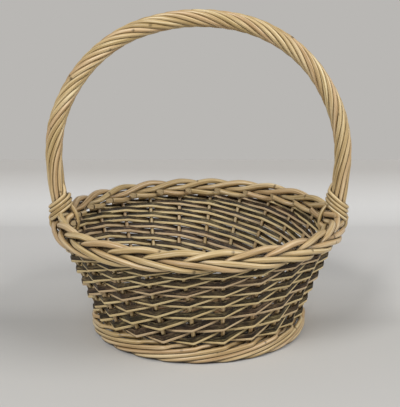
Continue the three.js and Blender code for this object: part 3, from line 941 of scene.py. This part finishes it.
def make_side_weavers(bark, split):
    outline = outline_curve("split_rod_outline", SPLIT_OUTLINE)
    for number in range(STAKE_COUNT):
        name = f"split_weaver_{number + 1:02d}"
        dice = random.Random(name)
        knots = []
        for angle, offset, low, high in weaver_rows(number):
            high += through(WEAVER_OVERLAP, low)
            middle = (low + high) / 2
            width = (high - low) / math.cos(wall_tilt(middle)) * dice.uniform(1.0, 1.1)
            knots.append((on_wall(angle, middle, offset + dice.uniform(-UNEVEN, UNEVEN)), width))
        line = spaced(knots, ROD_SPACING)
        weaver = swept(name, line, outline, [wall_tilt(point.z) for point, _ in line])
        cut_face = finish_rod(weaver, line, name, bud_spacing=90, waver=SPLIT_WAVER)
        paint(weaver.data, cut_face, bark, split)
        for face in weaver.data.polygons:
            face.use_smooth = False
            face.material_index = 0 if is_bark(face) else 1
        add_piece(weaver, f"side_weaver_{number + 1:02d}")
    bpy.data.objects.remove(outline)


# Handle.
def bow_thickness(height):
    """How thick the bow is at a height: pointed in the wall and full where the strands start."""
    rows = [
        (BOW_END, BOW_TIP),
        (WALL_TOP, BOW_AT_WALL_TOP),
        (RIM_TOP - RIM_PITCH, BOW_THICKNESS - 4 * CLEARANCE),
        (STRAND_FOOT, BOW_THICKNESS),
    ]
    return through(rows, max(height, BOW_END))


def leg_out(height):
    """How far out a handle leg is at a height."""
    in_wall = WALL_TOP - 2 * RIM_PITCH
    above_rim = HALF_SPAN - HANDLE_LEG_INSET
    if height < in_wall:
        return wall_radius(height)
    rows = [
        (in_wall, wall_radius(in_wall)),
        (WALL_TOP, RIM_RADIUS),
        (WALL_TOP + 2 * RIM_PITCH, above_rim - 0.45 * RIM_PITCH),
        (RIM_TOP, above_rim - 0.15 * RIM_PITCH),
        (RIM_TOP + 2 * RIM_PITCH, above_rim),
        (RIM_TOP + 5 * RIM_PITCH, HALF_SPAN - HANDLE_LEG_INSET / 2),
        (SPRING_HEIGHT, HALF_SPAN),
    ]
    return through(rows, height)


def handle_line(lowest, spacing):
    """The handle's middle line from the left foot over the top to the right foot."""
    side = []
    for i in range(HANDLE_STEPS):
        height = lowest + (SPRING_HEIGHT - lowest) * i / HANDLE_STEPS
        side.append(Vector((-leg_out(height), 0, height)))
    for i in range(HANDLE_STEPS):
        turn = i / HANDLE_STEPS * QUARTER_TURN
        out = HALF_SPAN * math.cos(turn) ** (2 / HANDLE_FULLNESS)
        up = HANDLE_ARCH_RISE * math.sin(turn) ** (2 / HANDLE_FULLNESS)
        side.append(Vector((-out, 0, SPRING_HEIGHT + up)))
    top = Vector((0, 0, SPRING_HEIGHT + HANDLE_ARCH_RISE))
    mirrored = [Vector((-p.x, 0, p.z)) for p in reversed(side)]
    return [p for p, _ in smooth_line([(p, 1) for p in [*side, top, *mirrored]], spacing)]


def make_handle_bow(wood, cut):
    line = [(p, bow_thickness(p.z)) for p in handle_line(BOW_END, ROD_SPACING)]
    bow = swept("willow_handle_bow", line)
    cut_face = finish_rod(bow, line, "bow", bud_spacing=120, cut_slope=(1, 1))
    paint(bow.data, cut_face, wood, cut)
    add_piece(bow, "handle_bow")


def strand_angle(number, distance, length):
    """Angle of a strand round the bow, 0 on the outside, at a distance from the left foot."""

    def eased(d):
        t = min(max(d / STRAND_STRAIGHT, 0), 1)
        return STRAND_STRAIGHT * (t**3 - t**4 / 2) + max(d - STRAND_STRAIGHT, 0)

    nearer = eased(min(distance, length - distance)) / eased(length / 2) / 2
    share = nearer if distance < length / 2 else 1 - nearer
    return FULL_TURN * (number / STRAND_COUNT + STRAND_TURNS * share)


def strand_knots(number, middle, length, dice):
    """A strand's points with their thickness, wound round the handle's middle line."""
    knots = []
    for i, point in enumerate(middle):
        ahead = middle[min(i + 1, len(middle) - 1)]
        behind = middle[max(i - 1, 0)]
        along = (ahead - behind).normalized()
        angle = strand_angle(number, length * i / (len(middle) - 1), length)
        outwards = STRAND_RING * math.cos(angle)
        out = point.x - outwards * along.z
        up = point.z + outwards * along.x
        centre = Vector((out, -STRAND_RING * math.sin(angle), up))
        knots.append((centre, STRAND_ROD + dice.uniform(-UNEVEN, UNEVEN)))
    return knots


def binding_line(side, start_angle):
    """A strand's end wound down a handle leg and strapped down over the outside of the rim."""
    pitch = (BINDING_THICKNESS + CLEARANCE) / math.cos(BINDING_TILT)
    end_angle = -BINDING_TURNS * FULL_TURN
    points = []

    def place(angle, reach, lift):
        drop = math.tan(BINDING_TILT) * BINDING_RING * math.cos(angle)
        height = BINDING_FOOT + pitch * (angle - end_angle) / FULL_TURN - drop + lift
        out = leg_out(height) + reach * math.cos(angle)
        points.append(Vector((side * out, -reach * math.sin(angle), height)))

    for share in LEAD_IN:
        reach = STRAND_RING + (BINDING_RING - STRAND_RING) * math.sqrt(share)
        place(start_angle - share * BINDING_RISE_ANGLE, reach, BINDING_LEAD * (1 - share) ** 2)
    first_angle = start_angle - BINDING_RISE_ANGLE * LEAD_END
    steps = round((first_angle - end_angle) / BINDING_STEP)
    for i in range(steps + 1):
        place(first_angle + (end_angle - first_angle) * i / steps, BINDING_RING, 0)
    strap_out = RIM_OUTSIDE + CLEARANCE + BINDING_THICKNESS / 2
    for out, up in STRAP:
        points.append(Vector((side * (strap_out + out * RIM_PITCH), 0, WALL_TOP + up * RIM_PITCH)))
    # Under the rim it goes in through the wall and comes up inside, back to the leg.
    for out, front, up in STRAP_END:
        points.append(Vector((side * (RIM_RADIUS + out), -front, WALL_TOP + up)))
    return [(p, BINDING_ROD) for p in points]


def bound(knots, side, end_angle):
    """A strand's knots, with its end turned into the binding and strap of a handle leg."""
    from_inside = math.atan2(-math.sin(end_angle), -math.cos(end_angle))
    binding = binding_line(side, math.pi + from_inside)
    while knots[-1][0].z < binding[0][0].z + BINDING_THICKNESS:
        knots.pop()
    return knots + binding


def make_handle_strands(wood, cut):
    middle = handle_line(STRAND_FOOT, HANDLE_SPACING)
    length = distances(middle)[-1]
    for number in range(STRAND_COUNT):
        name = f"handle_rod_{number + 1:02d}"
        knots = strand_knots(number, middle, length, random.Random(name))
        if number == LEFT_BINDER:
            knots = bound(knots[::-1], -1, strand_angle(number, 0, length))[::-1]
        if number == RIGHT_BINDER:
            knots = bound(knots, 1, strand_angle(number, length, length))
        line = smooth_line(knots, ROD_SPACING)
        strand = swept(name, line)
        cut_face = finish_rod(strand, line, name, bud_spacing=60, cut_slope=(0.6, 0.6))
        paint(strand.data, cut_face, wood, cut)
        add_piece(strand, f"handle_strand_{number + 1:02d}")


# Base.
def spokes():
    """Ends of the base's sticks round the cross: the single one, then sixteen in four arms."""
    group = FULL_TURN / (SPOKE_PAIRS + 1)
    ends = [{"hand": 0, "spread": 0.0}]
    for n in range(SPOKE_PAIRS):
        for hand in (-1, 1):
            ends.append(
                {
                    "hand": hand,
                    "arm": n // 2,
                    "place": (n % 2) * 2 - 1 + hand / 2,
                    "pair": (n + 1) * group,
                    "spread": (n + 1) * group + hand * group / 4,
                }
            )
    return ends


def on_base(angle, along, sideways=0.0):
    """A point in the middle of the base's sticks, at a distance along and beside a direction."""
    x = along * math.cos(angle) - sideways * math.sin(angle)
    y = along * math.sin(angle) + sideways * math.cos(angle)
    return Vector((x, y, BASE_HEIGHT))


def spoke_line(end):
    """A stick's end from the cross outwards."""
    pitch = BASE_STICK + CLEARANCE
    arm_angle = (end["arm"] + 0.5) * QUARTER_TURN
    return [
        on_base(arm_angle, CROSS_ARM, end["place"] * pitch),
        on_base(end["pair"], PAIR_RADIUS, end["hand"] * pitch / 2),
        on_base(end["spread"], SPREAD_RADIUS),
        on_base(end["spread"], BASE_RADIUS),
    ]


def stick_lines():
    """The base's sticks as (points, thickness): the half stick, then four whole and four threaded."""
    ends = spokes()[1:]
    lines = [([on_base(0, HALF_STICK_START), on_base(0, BASE_RADIUS)], BASE_STICK)]
    for end in ends:
        if end["arm"] < 2:
            across = (end["arm"] + 2, -end["place"])
            other = next(e for e in ends if (e["arm"], e["place"]) == across)
            thickness = BASE_STICK if end["arm"] == 0 else THREADED_STICK
            lines.append((spoke_line(end)[::-1] + spoke_line(other), thickness))
    return lines


def make_base_cross(wood, cut):
    sticks = []
    for i, (points, thickness) in enumerate(stick_lines()):
        line = smooth_line([(p, thickness) for p in points], ROD_SPACING)
        stick = swept(f"base_stick_{i + 1}", line)
        cut_face = finish_rod(stick, line, f"base stick {i}", bud_spacing=60, cut_slope=(0.3, 0.3))
        paint(stick.data, cut_face, wood, cut)
        sticks.append(stick)
    pick(sticks)
    bpy.ops.object.join()
    cross = bpy.context.view_layer.objects.active
    cross.name = "base_stick_cross"
    add_piece(cross, "base_cross")


def spoke_angle(end, radius):
    """Angle of a spoke at a radius: from its place in the pair to its place on its own."""
    if not end["hand"]:
        return end["spread"]
    sideways = end["hand"] * (BASE_STICK + CLEARANCE) / 2
    opened = min(max((radius - PAIR_RADIUS) / (SPREAD_RADIUS - PAIR_RADIUS), 0), 1)
    in_pair = on_base(end["pair"], PAIR_RADIUS, sideways)
    at = in_pair.lerp(on_base(end["spread"], SPREAD_RADIUS), opened)
    return math.atan2(at.y, at.x) % FULL_TURN


def base_weaver_knots():
    """The base weaver over and under the spokes, or over and under the pairs near the cross."""
    ends = spokes()
    above = (BASE_STICK + BASE_WEAVER_THICKNESS) / 2 + CLEARANCE
    first_radius = PAIR_RADIUS + BASE_WEAVER_WIDTH / 2
    last_radius = BASE_RADIUS - 6 * CLEARANCE - BASE_WEAVER_WIDTH / 2
    over = 1
    radius = first_radius
    n = 0
    knots = []
    while radius < last_radius:
        end = ends[n % len(ends)]
        angle = spoke_angle(end, radius)
        radius = first_radius + BASE_WEAVER_PITCH * (n // len(ends) + angle / FULL_TURN)
        if not (radius < SPREAD_RADIUS and end["hand"] == 1):
            over = -over
        point = on_base(angle, radius)
        point.z += over * above
        knots.append((point, BASE_WEAVER_WIDTH))
        n += 1
    return knots


def make_base_weaver(bark, split):
    line = smooth_line(base_weaver_knots(), ROD_SPACING)
    outline = outline_curve("flat_rod_outline", FLAT_OUTLINE)
    weaver = swept("flat_base_weaver", line, outline)
    cut_face = finish_rod(weaver, line, "base weaver")
    paint(weaver.data, cut_face, bark, split)
    add_piece(weaver, "base_weaver")
    bpy.data.objects.remove(outline)


# Studio.
def studio_paper():
    """Matt studio paper, painted lightest round the object, with painted shade greyer in front and on
    its upright lip.
    """
    material, tree = new_material("pale_studio_paper")
    object_place = add_node(tree, "ShaderNodeTexCoord").outputs["Object"]
    place = add_node(tree, "ShaderNodeSeparateXYZ", links={0: object_place})
    # Painted light and shade: the paper is painted lighter behind the object and greyer in front and
    # up the lip.
    floor_painted_light_and_shade = [
        (0.0, "c8c6c2"),
        (0.05, "dcdad6"),
        (0.12, "e9e7e3"),
        (0.3, "e4e2df"),
        (0.405, "dbdad8"),
    ]
    lip_painted_shade = [(0.02, "ffffff"), (0.07, "e6e4e2")]
    floor = add_node(tree, "ShaderNodeValToRGB", links={"Fac": place.outputs["Y"]}, stops=floor_painted_light_and_shade)
    lip = add_node(tree, "ShaderNodeValToRGB", links={"Fac": place.outputs["Z"]}, stops=lip_painted_shade)
    paper = add_node(
        tree,
        "ShaderNodeMix",
        {"data_type": "RGBA", "blend_type": "MULTIPLY"},
        {MIX_FACTOR: 1.0, MIX_FIRST: floor.outputs[0], MIX_SECOND: lip.outputs[0]},
    )
    shader = add_node(
        tree,
        "ShaderNodeBsdfPrincipled",
        links={"Base Color": paper.outputs[MIXED], "Roughness": 0.9, "Specular IOR Level": 0.1},
    )
    add_node(tree, "ShaderNodeOutputMaterial", links={"Surface": shader.outputs[0]})
    return material


def make_paper():
    """A sheet of paper: flat floor, then a curve up to a low lip."""
    profile = [(PAPER_FRONT, 0.0)]
    for i in range(PAPER_STEPS + 1):
        turn = i / PAPER_STEPS * QUARTER_TURN
        along = PAPER_BACK - PAPER_BEND + PAPER_BEND * math.sin(turn)
        profile.append((along, PAPER_BEND * (1 - math.cos(turn))))
    profile.append((PAPER_BACK, PAPER_LIP))
    points = [(x, y, z) for y, z in profile for x in (-PAPER_HALF, PAPER_HALF)]
    faces = [(2 * i, 2 * i + 1, 2 * i + 3, 2 * i + 2) for i in range(len(profile) - 1)]
    mesh = bpy.data.meshes.new("studio_paper")
    mesh.from_pydata(points, [], faces)
    mesh.shade_smooth()
    mesh.materials.append(studio_paper())
    sheet = bpy.data.objects.new("studio_paper", mesh)
    bpy.context.collection.objects.link(sheet)


def make_lamps():
    for name, side_on, height, distance, size, power in SOFTBOXES:
        light = bpy.data.lights.new(name, "AREA")
        light.size = size
        light.energy = power
        lamp = bpy.data.objects.new(name, light)
        bpy.context.collection.objects.link(lamp)
        up = math.radians(height)
        towards = around(math.radians(side_on), math.cos(up), math.sin(up))
        lamp.location = LAMP_AIM + towards * distance
        lamp.rotation_euler = towards.to_track_quat("Z", "Y").to_euler()
        lamp.visible_camera = False


def make_air():
    """Soft light from all round, seen by the camera and in reflections as a pale wall."""
    world = bpy.data.worlds.new("studio_air")
    bpy.context.scene.world = world
    world.use_nodes = True
    air = world.node_tree
    air.nodes.clear()
    rays = add_node(air, "ShaderNodeLightPath")
    seen = rays.outputs["Is Camera Ray"]
    for kind in ("Is Glossy Ray", "Is Transmission Ray"):
        either = {0: seen, 1: rays.outputs[kind]}
        seen = add_node(air, "ShaderNodeMath", {"operation": "MAXIMUM"}, either).outputs[0]
    soft = {"Color": hex_colour("dfe1e4"), "Strength": 0.22}
    plain = {"Color": hex_colour("b9b7b4"), "Strength": 1}
    fill = add_node(air, "ShaderNodeBackground", links=soft).outputs[0]
    wall = add_node(air, "ShaderNodeBackground", links=plain).outputs[0]
    both = add_node(air, "ShaderNodeMixShader", links={0: seen, 1: fill, 2: wall})
    add_node(air, "ShaderNodeOutputWorld", links={"Surface": both.outputs[0]})


def make_camera():
    camera = bpy.data.cameras.new("camera")
    camera.sensor_fit = "HORIZONTAL"
    camera.sensor_width = SENSOR_WIDTH
    camera.lens = FOCAL_LENGTH / PHOTO_WIDTH * SENSOR_WIDTH
    camera.shift_x = CAMERA_SHIFT / PHOTO_WIDTH
    holder = bpy.data.objects.new("camera", camera)
    bpy.context.collection.objects.link(holder)
    holder.location = CAMERA_PLACE
    holder.rotation_euler = (QUARTER_TURN - CAMERA_DROP, 0, 0)
    bpy.context.scene.camera = holder


bpy.context.scene.view_settings.view_transform = "Standard"
make_camera()
make_paper()
make_lamps()
make_air()
# The stakes' copy is tanned a little, partly their own tan and partly painted shade; the handle's copy
# is untanned.
peeled = peeled_willow("peeled_willow", 0.07)
untanned_wood = peeled_willow("fresh_peeled_willow", 0.0)
# The base sticks' copy is tanned far darker: painted shade on the base inside the basket.
shade_darkened_wood = peeled_willow("buff_willow", 0.75)
cut_end = willow_cut_end()
bark = willow_bark()
split = split_willow()
make_stakes(peeled, cut_end)
make_side_weavers(bark, split)
make_base_cross(shade_darkened_wood, cut_end)
make_base_weaver(bark, split)
make_handle_bow(untanned_wood, cut_end)
make_handle_strands(untanned_wood, cut_end)
